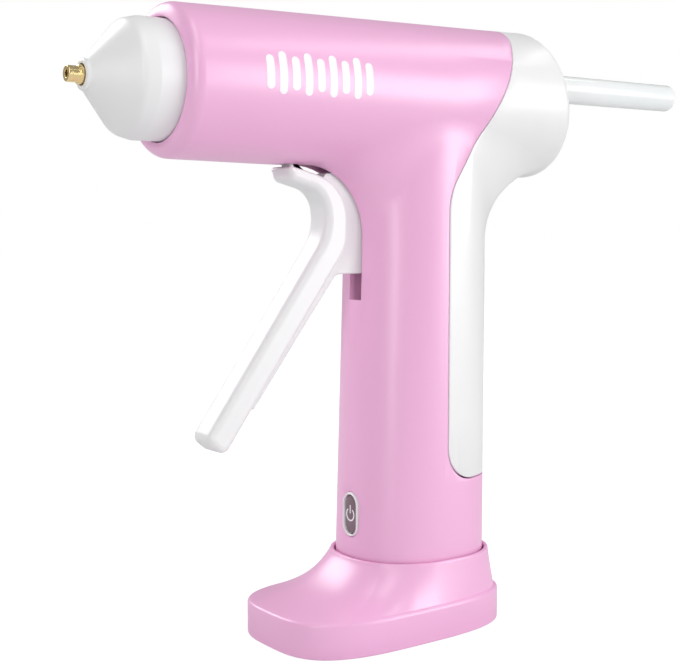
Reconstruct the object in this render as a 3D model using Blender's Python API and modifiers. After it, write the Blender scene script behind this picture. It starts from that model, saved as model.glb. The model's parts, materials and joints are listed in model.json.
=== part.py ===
"""Cordless hot-glue gun standing in a boot-shaped base, as separate solids.

+X is forward, towards the nozzle, +Y is the gun's left and +Z is up. The origin is the middle of the
handle's foot print on the surface that the base stands on. Sizes are in millimetres and become metres
when a mesh is made.
"""
import math

import bmesh
import bpy
from mathutils import Matrix, Vector

MM = 0.001
GAP = 0.3
WALL = 2.0
TWIST = math.radians(1.7)

# Barrel: a slightly tapered cylinder along X with a leaning rear end.
AXIS_Z = 124.6
BARREL_FRONT = 66.7
BARREL_REAR = -36.0
BARREL_R_FRONT = 16.0
BARREL_R_REAR = 17.7
FRONT_ROUND = 2.9
REAR_ROUND = 2.6
REAR_LEAN = math.radians(9.3)
LEAN_FROM = -18.0

# Handle: an upright superellipse, blended into the barrel by a rolling ball.
HANDLE_FOOT = 8.9
HANDLE_FRONT_LOW = 17.7
HANDLE_FRONT_HIGH = 16.0
HANDLE_HIGH_Z = 90.0
HANDLE_REAR = 17.6
HANDLE_HALF_WIDTH = 15.6
HANDLE_POWER = 2.4
HANDLE_POWER_HIGH = 2.05
BLEND_R = 16.0
REAR_BLEND_MORE = 9.0
BLEND_STEPS = 4

# Seam between the pink housing and the white rear cover, seen from the side.
SEAM_X = 0.9
SEAM_LOW = 35.6

# Slot for the trigger, in the handle's front and the barrel's belly.
SLOT_HALF = 2.2
SLOT_LOW = 77.6
SLOT_FRONT = 36.9

# Trigger and its works.
PIVOT = (32.5, 110.8)
CRANK = (25.5, 122.2)
LEVER_HALF = 4.0
WEB_HALF = 1.8

PIN_R = 1.0
PIN_HALF = 6.2
DRIVE_PIN_R = 0.75
JAW_PIVOT = (12.0, 120.4)
JAW_PIN_R = 0.9
RAIL_LOW = 116.7

# Glue stick and the parts it passes.
STICK_R = 3.5
STICK_Z = AXIS_Z + 5.1
STICK_REAR = -90.0
STICK_FRONT = 46.0

INLET_R = 5.5
CHAMBER_R = 10.4
COVER_SCREW_Z = 113.0

# Battery.
CELL_X = -2.8
CELL_R = 9.2
CELL_LOW = 36.5
CELL_HIGH = 101.5

# Power button on the handle's front.
BUTTON_Z = 27.4
BUTTON_HALF = 3.3
BUTTON_STRAIGHT = 2.3

# Charging socket low in the handle's back.
PORT_Z = 27.6
PORT_STRAIGHT = 2.95

# Base.
TOE = 40.5
HEEL = -20.5
BASE_HALF_FRONT = 19.8
BASE_HALF_REAR = 18.8
BASE_POWER = 3.2
SOLE_Z = 0.4
PAD_TOP = 1.2
RIM_Z = 8.2
COLLAR_Z = 17.6
SOCKET_FLOOR = 6.6
SOCKET_PLAY = 0.55
COLLAR_WALL = 1.5
SCREW_XS = (("front", 31.0), ("rear", -11.0))


def clear_scene():
    for obj in list(bpy.data.objects):
        bpy.data.objects.remove(obj, do_unlink=True)


def collection(name, hidden=False):
    made = bpy.data.collections.new(name)
    bpy.context.scene.collection.children.link(made)
    made.hide_render = hidden
    return made


def material(name, colour, roughness, metallic=0.0, transmission=0.0):
    made = bpy.data.materials.new(name)
    made.use_nodes = True
    shader = made.node_tree.nodes["Principled BSDF"]
    shader.inputs["Base Color"].default_value = (*colour, 1.0)
    shader.inputs["Roughness"].default_value = roughness
    shader.inputs["Metallic"].default_value = metallic
    shader.inputs["Transmission Weight"].default_value = transmission
    made.diffuse_color = (*colour, 1.0)
    return made


clear_scene()
PARTS = collection("glue_gun")
CUTTERS = collection("cutters", hidden=True)

PINK = material("pink_plastic", (0.86, 0.43, 0.66), 0.32)
WHITE = material("white_plastic", (0.86, 0.86, 0.86), 0.35)
BRASS = material("brass", (0.80, 0.55, 0.22), 0.22, 1.0)
ALUMINIUM = material("aluminium", (0.72, 0.73, 0.74), 0.38, 1.0)
STEEL = material("steel", (0.62, 0.62, 0.63), 0.30, 1.0)
CERAMIC = material("ceramic", (0.85, 0.82, 0.74), 0.55)
SILICONE = material("silicone", (0.55, 0.16, 0.10), 0.55)
RUBBER = material("rubber", (0.08, 0.07, 0.08), 0.80)
BOARD = material("board", (0.05, 0.22, 0.10), 0.45)
CELL = material("cell_sleeve", (0.10, 0.30, 0.55), 0.35)
GLUE = material("clear_glue", (0.93, 0.96, 0.97), 0.12, 0.0, 0.9)
WINDOW = material("smoked_window", (0.22, 0.16, 0.20), 0.15)
NYLON = material("grey_nylon", (0.45, 0.46, 0.48), 0.50)
FUSE = material("fuse_body", (0.80, 0.80, 0.74), 0.40)
RED = material("red_sleeve", (0.60, 0.04, 0.04), 0.45)
BLACK = material("black_sleeve", (0.03, 0.03, 0.03), 0.50)


# ---- making meshes ----


def put(obj, point, parent):
    """Links an object at a world point, in millimetres, under a parent that may be an empty."""
    base = Vector((0.0, 0.0, 0.0))
    if parent is not None:
        obj.parent = parent
        base = Vector(parent["at"])
    obj.location = (Vector(point) - base) * MM
    PARTS.objects.link(obj)


def add_part(name, mesh, finish, origin=(0.0, 0.0, 0.0), parent=None):
    """Puts a mesh made in world millimetres at its own origin, in metres."""
    mesh.transform(Matrix.Scale(MM, 4) @ Matrix.Translation(-Vector(origin)))
    mesh.name = name
    mesh.materials.clear()
    mesh.materials.append(finish)
    mesh.shade_smooth()
    mesh.set_sharp_from_angle(angle=math.radians(32))
    obj = bpy.data.objects.new(name, mesh)
    put(obj, origin, parent)
    return obj


def add_cutter(name, mesh):
    mesh.transform(Matrix.Scale(MM, 4))
    obj = bpy.data.objects.new("cut_" + name, mesh)
    obj.hide_render = True
    obj.display_type = "WIRE"
    CUTTERS.objects.link(obj)
    return obj


def boolean(obj, other, operation):
    modifier = obj.modifiers.new(operation.title(), "BOOLEAN")
    modifier.operation = operation
    modifier.solver = "EXACT"
    modifier.object = other


def cut(obj, *meshes):
    for mesh in meshes:
        boolean(obj, add_cutter(obj.name, mesh), "DIFFERENCE")


def join(obj, *meshes):
    for mesh in meshes:
        boolean(obj, add_cutter(obj.name, mesh), "UNION")


def keep(obj, mesh):
    boolean(obj, add_cutter(obj.name, mesh), "INTERSECT")


def axis_empty(name, point, parent=None):
    """A moving body's parent, on its joint's axis."""
    empty = bpy.data.objects.new(name, None)
    empty.empty_display_size = 0.01
    empty["at"] = point
    put(empty, point, parent)
    return empty


def from_bmesh(bm):
    bmesh.ops.recalc_face_normals(bm, faces=bm.faces)
    mesh = bpy.data.meshes.new("made")
    bm.to_mesh(mesh)
    bm.free()
    return mesh


def evaluated(obj):
    """The mesh that an object's curve or modifiers give, with its seams welded."""
    bpy.context.scene.collection.objects.link(obj)
    graph = bpy.context.evaluated_depsgraph_get()
    mesh = bpy.data.meshes.new_from_object(obj.evaluated_get(graph))
    bpy.data.objects.remove(obj, do_unlink=True)
    bm = bmesh.new()
    bm.from_mesh(mesh)
    bmesh.ops.remove_doubles(bm, verts=bm.verts, dist=0.0005)
    return from_bmesh(bm)


def box(low, high, rounding=0.0):
    size = Vector(high) - Vector(low)
    middle = (Vector(high) + Vector(low)) / 2
    bm = bmesh.new()
    bmesh.ops.create_cube(bm, size=1.0, matrix=Matrix.Translation(middle) @ Matrix.Diagonal((*size, 1.0)))
    if rounding:
        bmesh.ops.bevel(bm, geom=list(bm.edges), offset=rounding, segments=1, affect="EDGES")
    return from_bmesh(bm)


def cylinder(start, end, radius, sides=20):
    """A cylinder between two points, turned a little so that no edge lies along a turned piece's."""
    start, end = Vector(start), Vector(end)
    turn = (end - start).to_track_quat("Z", "Y").to_matrix().to_4x4() @ Matrix.Rotation(TWIST, 4, "Z")
    bm = bmesh.new()
    bmesh.ops.create_cone(
        bm,
        cap_ends=True,
        segments=sides,
        radius1=radius,
        radius2=radius,
        depth=(end - start).length,
        matrix=Matrix.Translation((start + end) / 2) @ turn,
    )
    return from_bmesh(bm)


def turned(profile, steps=32, height=AXIS_Z):
    """A solid turned about a line along X. The profile's (x, radius) points run from the front
    round the outside to the rear, and back along the bore where there is one."""
    mesh = bpy.data.meshes.new("profile")
    points = [(radius, 0.0, x) for x, radius in profile]
    edges = [(i, i + 1) for i in range(len(points) - 1)]
    if profile[0][1] > 0:
        edges.append((len(points) - 1, 0))
    mesh.from_pydata(points, edges, [])
    obj = bpy.data.objects.new("profile", mesh)
    screw = obj.modifiers.new("Screw", "SCREW")
    screw.axis = "Z"
    screw.steps = steps
    screw.render_steps = steps
    screw.use_merge_vertices = True
    screw.merge_threshold = 0.0001
    made = evaluated(obj)
    made.transform(Matrix.Translation((0, 0, height)) @ Matrix.Rotation(math.pi / 2, 4, "Y"))
    return made


def plate(outline, axis, low, high):
    """A flat outline with a thickness. Its points are the two axes that are left, in order."""
    curve = bpy.data.curves.new("outline", "CURVE")
    curve.dimensions = "2D"
    curve.fill_mode = "BOTH"
    curve.extrude = (high - low) / 2
    spline = curve.splines.new("POLY")
    spline.points.add(len(outline) - 1)
    for point, (u, v) in zip(spline.points, outline):
        point.co = (u, v, 0.0, 1.0)
    spline.use_cyclic_u = True
    mesh = evaluated(bpy.data.objects.new("outline", curve))
    middle = (low + high) / 2
    columns = {
        "X": ((0, 1, 0), (0, 0, 1), (1, 0, 0)),
        "Y": ((1, 0, 0), (0, 0, 1), (0, 1, 0)),
        "Z": ((1, 0, 0), (0, 1, 0), (0, 0, 1)),
    }[axis]
    turn = Matrix(columns).transposed().to_4x4()
    mesh.transform(turn @ Matrix.Translation((0, 0, middle)))
    bm = bmesh.new()
    bm.from_mesh(mesh)
    return from_bmesh(bm)


def rounded(corners, per_turn=16):
    """An outline whose corners, (x, y, radius), become arcs."""
    points = []
    count = len(corners)
    for i, (x, y, radius) in enumerate(corners):
        here = Vector((x, y))
        before = (Vector(corners[i - 1][:2]) - here).normalized()
        after = (Vector(corners[(i + 1) % count][:2]) - here).normalized()
        if radius <= 0:
            points.append((x, y))
            continue
        half = before.angle(after) / 2
        middle = here + (before + after).normalized() * radius / math.sin(half)
        start = here + before * radius / math.tan(half) - middle
        turn = math.pi - 2 * half
        sign = 1.0 if start.x * before.y - start.y * before.x < 0 else -1.0
        steps = max(1, round(per_turn * turn / (2 * math.pi)))
        for k in range(steps + 1):
            angle = sign * turn * k / steps
            turned_by = Matrix.Rotation(angle, 2)
            points.append(tuple(middle + turned_by @ start))
    return points


def capsule(half_width, straight, sides=6):
    """A slot shape about the origin: straight sides of twice `straight`, with round ends."""
    points = []
    for end, first in ((1, 0.0), (-1, math.pi)):
        for k in range(sides + 1):
            angle = first + math.pi * k / sides
            points.append((half_width * math.cos(angle), end * straight + half_width * math.sin(angle)))
    return points


def loft(rings):
    """A closed solid through rings of equally many points, first ring lowest."""
    bm = bmesh.new()
    rows = [[bm.verts.new(point) for point in ring] for ring in rings]
    for lower, upper in zip(rows, rows[1:]):
        for i in range(len(lower)):
            j = (i + 1) % len(lower)
            bm.faces.new((lower[i], lower[j], upper[j], upper[i]))
    bm.faces.new(reversed(rows[0]))
    bm.faces.new(rows[-1])
    return from_bmesh(bm)


def tube(route, radius, smooth=3):
    """A wire through the route's points, on a smooth curve."""
    points = []
    ends = [route[0], *route, route[-1]]
    for a, b, c, d in zip(ends, ends[1:], ends[2:], ends[3:]):
        a, b, c, d = (Vector(p) for p in (a, b, c, d))
        for k in range(smooth):
            t = k / smooth
            square = (2 * a - 5 * b + 4 * c - d) * t**2
            cube = (3 * b - a - 3 * c + d) * t**3
            points.append(0.5 * (2 * b + (c - a) * t + square + cube))
    points.append(Vector(route[-1]))
    curve = bpy.data.curves.new("wire", "CURVE")
    curve.dimensions = "3D"
    curve.bevel_depth = radius
    curve.bevel_resolution = 2
    curve.use_fill_caps = True
    spline = curve.splines.new("POLY")
    spline.points.add(len(points) - 1)
    for place, point in zip(spline.points, points):
        place.co = (*point, 1.0)
    return evaluated(bpy.data.objects.new("wire", curve))


# ---- outer form of the gun, also used inset for its hollow ----


def barrel_radius(x):
    share = (x - BARREL_REAR) / (BARREL_FRONT - BARREL_REAR)
    return BARREL_R_REAR + (BARREL_R_FRONT - BARREL_R_REAR) * share


def barrel_form(inset=0.0, steps=36):
    """The barrel as a solid of revolution whose rear end leans forward at its top."""
    front, rear = BARREL_FRONT - inset, BARREL_REAR + inset
    radius_front = BARREL_R_FRONT - inset
    radius_rear = BARREL_R_REAR - inset
    front_round = max(FRONT_ROUND - inset, 0.6)
    rear_round = max(REAR_ROUND - inset, 0.6)
    profile = [(front, 0.0)]
    for k in range(5):
        angle = math.pi / 2 * k / 4
        reach = front_round * math.sin(angle)
        profile.append((front - front_round * (1 - math.cos(angle)), radius_front - front_round + reach))
    profile.append((LEAN_FROM, barrel_radius(LEAN_FROM) - inset))
    for k in range(4):
        angle = math.pi / 2 * k / 3
        reach = rear_round * math.cos(angle)
        profile.append((rear + rear_round * (1 - math.sin(angle)), radius_rear - rear_round + reach))
    profile.append((rear, 0.0))
    mesh = turned(profile, steps)
    for vertex in mesh.vertices:
        share = min(1.0, max(0.0, (LEAN_FROM - vertex.co.x) / (LEAN_FROM - BARREL_REAR)))
        vertex.co.x += (vertex.co.z - AXIS_Z) * math.tan(REAR_LEAN) * share
    return mesh


def handle_point(angle, z, inset=0.0):
    """A point of the handle's outline at a height, as (x, y)."""
    share = min(1.0, max(0.0, (z - COLLAR_Z) / (HANDLE_HIGH_Z - COLLAR_Z)))
    cosine, sine = math.cos(angle), math.sin(angle)
    reach, power = HANDLE_REAR, HANDLE_POWER
    if cosine > 0:
        reach = HANDLE_FRONT_LOW + (HANDLE_FRONT_HIGH - HANDLE_FRONT_LOW) * share
        power = HANDLE_POWER + (HANDLE_POWER_HIGH - HANDLE_POWER) * share
    x = (reach - inset) * math.copysign(abs(cosine) ** (2 / power), cosine)
    y = (HANDLE_HALF_WIDTH - inset) * math.copysign(abs(sine) ** (2 / power), sine)
    return x, y


def handle_ring(z, inset=0.0, around=40):
    return [(*handle_point(2 * math.pi * i / around, z, inset), z) for i in range(around)]


def handle_form(inset=0.0, foot=HANDLE_FOOT, around=32):
    """The handle up to the barrel, ending inside it, with the blend that a ball leaves there."""
    columns = []
    for i in range(around):
        angle = 2 * math.pi * (i + 0.5) / around
        x, y = handle_point(angle, HANDLE_HIGH_Z, inset)
        ahead = Vector(handle_point(angle + 0.01, HANDLE_HIGH_Z, inset))
        behind = Vector(handle_point(angle - 0.01, HANDLE_HIGH_Z, inset))
        along = (ahead - behind).normalized()
        out = Vector((along.y, -along.x))
        ball = BLEND_R + inset + REAR_BLEND_MORE * (2 * min(0.0, out.x) * out.y) ** 2
        cx, cy = x + out.x * ball, y + out.y * ball
        radius = barrel_radius(cx) - inset - 0.15
        drop = math.sqrt(max((radius + ball) ** 2 - cy**2, 1.0))
        centre = Vector((cx, cy, AXIS_Z - drop))
        touch = Vector((cx, cy * radius / (radius + ball), AXIS_Z - drop * radius / (radius + ball)))
        column = [(*handle_point(angle, z, inset), z) for z in (foot, 50.0, HANDLE_HIGH_Z)]
        first = (Vector((x, y, centre.z)) - centre).normalized()
        last = (touch - centre).normalized()
        for k in range(BLEND_STEPS + 1):
            column.append(tuple(centre + first.slerp(last, k / BLEND_STEPS) * ball))
        column.append((touch.x * 0.8, touch.y * 0.6, AXIS_Z - 3.0))
        columns.append(column)
    return loft([[column[row] for column in columns] for row in range(len(columns[0]))])


def cover_region(play):
    """The space behind the seam, as a plate wider than the gun. Play moves the seam backwards."""
    line = [
        (-25.6, 150.0, 0.0),
        (-25.6, 144.2, 0.0),
        (-19.9, 136.3, 22.0),
        (-15.6, 128.2, 0.0),
        (-9.4, 117.2, 0.0),
        (SEAM_X, 102.2, 14.0),
        (SEAM_X, SEAM_LOW, 7.5),
        (-30.0, SEAM_LOW, 0.0),
        (-60.0, SEAM_LOW, 0.0),
        (-60.0, 150.0, 0.0),
    ]
    moved = []
    for x, z, radius in line:
        back = 0.0 if x < -50 else play
        up = play if z == SEAM_LOW else 0.0
        moved.append((x - back, z + up, radius))
    return plate(rounded(moved, 24), "Y", -40.0, 40.0)


def shell_blank(name, finish, parent):
    """The gun's whole skin, 2 mm thick, before it is split at the seam."""
    obj = add_part(name, barrel_form(), finish, parent=parent)
    join(obj, handle_form())
    cut(obj, barrel_form(WALL), handle_form(WALL, HANDLE_FOOT - 2))
    return obj


# ---- base ----


def base_outline(inset=0.0, around=48, high=0.0):
    """Points round the boot's sole at a height, inset from its edge."""
    points = []
    middle = (TOE + HEEL) / 2
    half = (TOE - HEEL) / 2
    for i in range(around):
        angle = 2 * math.pi * (i + 0.5) / around
        cosine, sine = math.cos(angle), math.sin(angle)
        u = math.copysign(abs(cosine) ** (2 / BASE_POWER), cosine)
        v = math.copysign(abs(sine) ** (2 / BASE_POWER), sine)
        width = BASE_HALF_REAR + (BASE_HALF_FRONT - BASE_HALF_REAR) * (u + 1) / 2
        points.append((middle + (half - inset) * u, (width - inset) * v, high))
    return points


def foot_outline(grow, high, around=48):
    """Points round the handle's foot, grown outwards, matching the sole's points by direction."""
    points = []
    for x, y, _ in base_outline(around=around):
        angle = math.atan2(y * HANDLE_REAR / HANDLE_HALF_WIDTH, x - 4.0 * (x > 0) * x / TOE)
        px, py = handle_point(angle, COLLAR_Z)
        points.append((px * (1 + grow / HANDLE_REAR), py * (1 + grow / HANDLE_HALF_WIDTH), high))
    return points


def boot_rings(inset, rim, top, foot_grow, rows=5):
    """Rings from the rim up to the collar: nearly flat at the toe, steep at the collar."""
    rings = []
    sole = base_outline(inset)
    foot = foot_outline(foot_grow, top)
    for k in range(rows + 1):
        s = k / rows
        climb = 0.25 * s + 0.75 * s**3
        blend = 1 - (1 - s) ** 1.05
        ring = []
        for (x0, y0, _), (x1, y1, _) in zip(sole, foot):
            ring.append((x0 + (x1 - x0) * blend, y0 + (y1 - y0) * blend, rim + (top - rim) * climb))
        rings.append(ring)
    return rings


def make_base():
    outer = [base_outline(0.7, high=SOLE_Z), base_outline(0.15, high=SOLE_Z + 0.3)]
    outer += [base_outline(0.0, high=SOLE_Z + 0.9), base_outline(0.0, high=RIM_Z - 0.9)]
    outer += [base_outline(0.35, high=RIM_Z - 0.25)]
    outer += boot_rings(1.1, RIM_Z, COLLAR_Z - 0.4, SOCKET_PLAY + COLLAR_WALL)
    outer += [foot_outline(SOCKET_PLAY + COLLAR_WALL - 0.4, COLLAR_Z)]
    shell = add_part("base_shell", loft(outer), PINK)
    socket = loft([foot_outline(SOCKET_PLAY, SOCKET_FLOOR), foot_outline(SOCKET_PLAY, COLLAR_Z + 2)])
    under = loft([base_outline(WALL, high=0.0), base_outline(WALL, high=SOCKET_FLOOR - 1.6)])
    cut(shell, socket, under)
    for _, x in SCREW_XS:
        join(shell, cylinder((x, 0, 3.0), (x, 0, SOCKET_FLOOR - 0.8), 2.6, 16))
        cut(shell, cylinder((x, 0, 0.0), (x, 0, 5.4), 1.2, 12))

    plate_low, plate_high = PAD_TOP + GAP, PAD_TOP + GAP + 1.1
    weight_low = plate_high + GAP
    cover = add_part(
        "base_plate",
        loft([base_outline(WALL + GAP, high=plate_low), base_outline(WALL + GAP, high=plate_high)]),
        PINK,
    )
    weight = add_part(
        "base_weight",
        loft([base_outline(WALL + GAP, high=weight_low), base_outline(WALL + GAP, high=SOCKET_FLOOR - 1.9)]),
        STEEL,
    )
    for _, x in SCREW_XS:
        cut(cover, cylinder((x, 0, 0.0), (x, 0, 4.0), 1.2, 12))
        cut(weight, cylinder((x, 0, 0.0), (x, 0, 9.0), 2.9, 16))
        cut(cover, cylinder((x, 0, 0.0), (x, 0, plate_low + 0.6), 2.2, 16))
    sole = [base_outline(WALL + GAP, high=0.0), base_outline(WALL + GAP, high=PAD_TOP)]
    add_part("base_foot_pad", loft(sole), RUBBER)
    for place, x in SCREW_XS:
        screw = add_part(
            "base_screw_" + place,
            cylinder((x, 0, plate_low + 0.05), (x, 0, plate_low + 0.35), 1.9, 14),
            STEEL,
            (x, 0, plate_low),
        )
        join(screw, cylinder((x, 0, plate_low + 0.2), (x, 0, 5.1), 0.9, 10))


# ---- gun body ----


def port_outline(half_height):
    """The charging socket's shape, lying across the handle's back."""
    return [(y, PORT_Z + z) for z, y in capsule(half_height, PORT_STRAIGHT)]


def make_housing(gun):
    housing = shell_blank("main_housing", PINK, gun)
    cut(housing, cover_region(0.0))
    cut(housing, cylinder((62.0, 0, AXIS_Z), (75.0, 0, AXIS_Z), 12.8, 40))
    cut(housing, box((9.0, -SLOT_HALF, SLOT_LOW), (SLOT_FRONT, SLOT_HALF, 112.5)))
    window = [(y, z + BUTTON_Z) for y, z in capsule(BUTTON_HALF + GAP, BUTTON_STRAIGHT)]
    cut(housing, plate(window, "X", 12.0, 22.0))
    cut(housing, plate(port_outline(1.9), "X", -22.0, -12.0))
    x, z = PIVOT
    reach = PIN_HALF + 0.2
    cut(housing, cylinder((x, -reach, z), (x, reach, z), PIN_R + GAP, 14))


def make_rear_cover(gun):
    cover = shell_blank("rear_cover", WHITE, gun)
    keep(cover, cover_region(GAP))
    high = COVER_SCREW_Z
    cut(cover, cylinder((-50, 0, STICK_Z), (-20, 0, STICK_Z), INLET_R + GAP, 28))
    cut(cover, cylinder((-50, 0, high), (-20, 0, high), 1.4, 14))
    cut(cover, cylinder((-50, 0, high), (-36.6, 0, high), 2.7, 18))
    bush = [(-24.0, INLET_R), (-31.0, INLET_R), (-36.0, INLET_R), (-36.0, 4.6), (-35.0, 4.1), (-24.0, 4.1)]
    add_part("inlet_bush", turned(bush, 28, STICK_Z), NYLON, (-30, 0, STICK_Z), gun)
    head = cylinder((-38.1, 0, high), (-36.9, 0, high), 2.4, 16)
    screw = add_part("cover_screw", head, STEEL, (-37, 0, high), gun)
    join(screw, cylinder((-37.2, 0, high), (-26.5, 0, high), 1.1, 12))


def make_foot_cap(gun):
    sole = [handle_ring(7.0, 0.5), handle_ring(7.4), handle_ring(HANDLE_FOOT - GAP)]
    cap = add_part("handle_foot_cap", loft(sole), PINK, (0, 0, 8), gun)
    join(cap, loft([handle_ring(z, WALL + GAP) for z in (8.0, 12.5)]))
    cut(cap, loft([handle_ring(z, WALL + 1.7) for z in (9.8, 14.0)]))


def make_nose(gun):
    outer = [(83.4, 2.3), (83.4, 2.6), (83.0, 3.1), (75.6, 10.9), (74.5, 11.9), (73.2, 12.35), (72.2, 12.45)]
    outer += [(64.2, 12.5), (64.2, 13.5), (62.6, 13.5)]
    inner = [(62.6, 11.2), (73.0, 11.0), (81.3, 2.3)]
    add_part("nose_cone", turned(outer + inner, 36), WHITE, (70, 0, AXIS_Z), gun)
    tip = [(86.6, 0.75), (86.6, 1.4), (86.3, 1.65), (84.3, 1.65), (84.2, 1.95), (83.2, 1.95), (83.1, 1.65)]
    tip += [(79.6, 1.65), (79.6, 2.9), (77.9, 2.9), (77.9, 1.6), (72.5, 1.6), (72.5, 0.75)]
    add_part("nozzle_tip", turned(tip, 16), BRASS, (83, 0, AXIS_Z), gun)


def make_heater(gun):
    block = [(77.6, 0.0), (77.6, 3.3), (67.0, 3.3), (64.6, 8.0)]
    block += [(63.0, CHAMBER_R), (40.0, CHAMBER_R), (40.0, 0.0)]
    chamber = add_part("melt_chamber", turned(block, 28), ALUMINIUM, (52, 0, AXIS_Z), gun)
    cut(chamber, box((45.0, -9, AXIS_Z - 12), (59.5, 9, AXIS_Z - 8)))
    cut(chamber, cylinder((38, 0, STICK_Z), (56, 0, STICK_Z), 3.85, 20))
    cut(chamber, cylinder((38, 0, STICK_Z), (44, 0, STICK_Z), 5.7, 24))
    cut(chamber, cylinder((54.5, 0, STICK_Z), (70.5, 0, AXIS_Z), 1.3, 12))
    cut(chamber, cylinder((69.5, 0, AXIS_Z), (81, 0, AXIS_Z), 1.95, 16))
    for name, x in (("heat_ring_rear", 41.0), ("heat_ring_front", 60.0)):
        bore = CHAMBER_R + GAP
        section = [(x + 2.4, bore), (x + 2.4, 13.6), (x, 13.6), (x, bore)]
        ring = add_part(name, turned(section, 32), CERAMIC, (x, 0, AXIS_Z), gun)
        cut(ring, box((x - 1, -6.4, AXIS_Z - 16), (x + 4, 6.4, AXIS_Z - 10.2)))
    low = AXIS_Z - 8.3
    heater = box((46.0, -5.0, low - 2.2), (58.5, 5.0, low), 0.3)
    add_part("ptc_heater", heater, CERAMIC, (52, 0, low - 1), gun)
    low -= 2.5
    clip = [(-6.6, low + 2.6), (-6.6, low - 0.8), (6.6, low - 0.8), (6.6, low + 2.6)]
    clip += [(5.9, low + 2.6), (5.9, low), (-5.9, low), (-5.9, low + 2.6)]
    add_part("heater_clip", plate(clip, "X", 48.0, 56.5), STEEL, (52, 0, low), gun)
    high = AXIS_Z + CHAMBER_R + GAP + 1.2
    fuse = cylinder((47, 0, high), (55, 0, high), 1.2, 14)
    add_part("thermal_fuse", fuse, FUSE, (51, 0, high), gun)
    sleeve = [(43.6, 3.95), (43.6, 5.4), (34.4, 5.4), (34.4, 4.4), (35.4, 3.95)]
    add_part("inlet_sleeve", turned(sleeve, 24, STICK_Z), SILICONE, (38, 0, STICK_Z), gun)
    ring = [(38.8, 5.7), (38.8, 6.5), (36.4, 6.5), (36.4, 5.7)]
    add_part("sleeve_clamp", turned(ring, 24, STICK_Z), STEEL, (37.6, 0, STICK_Z), gun)


def make_feed_frame(gun):
    frame = add_part("feed_frame", box((-26.0, -7.0, 114.6), (20.5, 7.0, 116.4)), NYLON, (-3, 0, 115), gun)
    join(frame, box((-29.2, -4.5, 110.4), (-25.0, 4.5, 122.4)))
    cut(frame, cylinder((-32, 0, COVER_SCREW_Z), (-24, 0, COVER_SCREW_Z), 1.4, 12))
    for side in (-1, 1):
        low, high = sorted((side * 5.4, side * 7.0))
        join(frame, box((-24.0, low, 115.4), (20.5, high, 118.4)))


# ---- trigger and feed ----


def lever_outline():
    corners = [
        (57.7, 49.5, 2.0),
        (26.5, 92.9, 12.0),
        (26.7, 102.0, 6.0),
        (36.6, 105.0, 1.5),
        (36.6, 107.9, 1.1),
        (32.4, 106.9, 0.0),
        (21.2, 104.0, 10.5),
        (21.2, 90.1, 8.0),
        (52.9, 46.0, 2.0),
    ]
    return rounded(corners, 28)


def web_outline():
    """The thin middle plate: rib, web in the slot, neck, pivot boss and crank."""
    x, z = PIVOT
    corners = [
        (44.9, 54.4, 0.6),
        (22.7, 83.8, 2.2),
        (13.4, 83.8, 0.6),
        (13.4, 95.0, 6.0),
        (17.2, 104.6, 4.0),
        (22.4, 106.9, 1.0),
        (25.6, 106.5, 0.5),
        (27.4, 104.2, 0.0),
        (32.9, 105.4, 0.0),
        (32.9, 108.2, 0.0),
        (x - 2.4, z - 1.9, 1.0),
        (CRANK[0] - 2.0, CRANK[1] - 1.4, 0.8),
        (CRANK[0] - 1.6, CRANK[1] + 1.9, 1.2),
        (CRANK[0] + 1.8, CRANK[1] + 1.9, 1.2),
        (x + 2.7, z + 2.2, 1.5),
        (36.2, z - 1.4, 1.0),
        (36.2, 106.2, 0.0),
        (33.0, 104.6, 0.0),
        (27.0, 103.2, 0.0),
        (24.6, 101.0, 0.0),
        (24.3, 91.5, 0.0),
        (49.0, 57.5, 0.0),
    ]
    return rounded(corners, 24)


def make_trigger(gun):
    x, z = PIVOT
    axis = (x, 0, z)
    body = axis_empty("trigger_axis", axis, gun)
    mesh = plate(lever_outline(), "Y", -LEVER_HALF, LEVER_HALF)
    trigger = add_part("trigger", mesh, WHITE, axis, body)
    bevel = trigger.modifiers.new("Round", "BEVEL")
    bevel.width = 1.0 * MM
    bevel.segments = 1
    bevel.limit_method = "ANGLE"
    bevel.angle_limit = math.radians(60)
    join(trigger, plate(web_outline(), "Y", -WEB_HALF, WEB_HALF))
    cut(trigger, cylinder((x, -5, z), (x, 5, z), PIN_R + GAP, 16))
    cx, cz = CRANK
    cut(trigger, cylinder((cx, -5, cz), (cx, 5, cz), DRIVE_PIN_R + GAP, 14))
    add_part("trigger_pin", cylinder((x, -PIN_HALF, z), (x, PIN_HALF, z), PIN_R, 14), STEEL, axis, gun)
    add_part("drive_pin", cylinder((cx, -4.6, cz), (cx, 4.6, cz), DRIVE_PIN_R, 12), STEEL, (cx, 0, cz), body)


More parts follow.
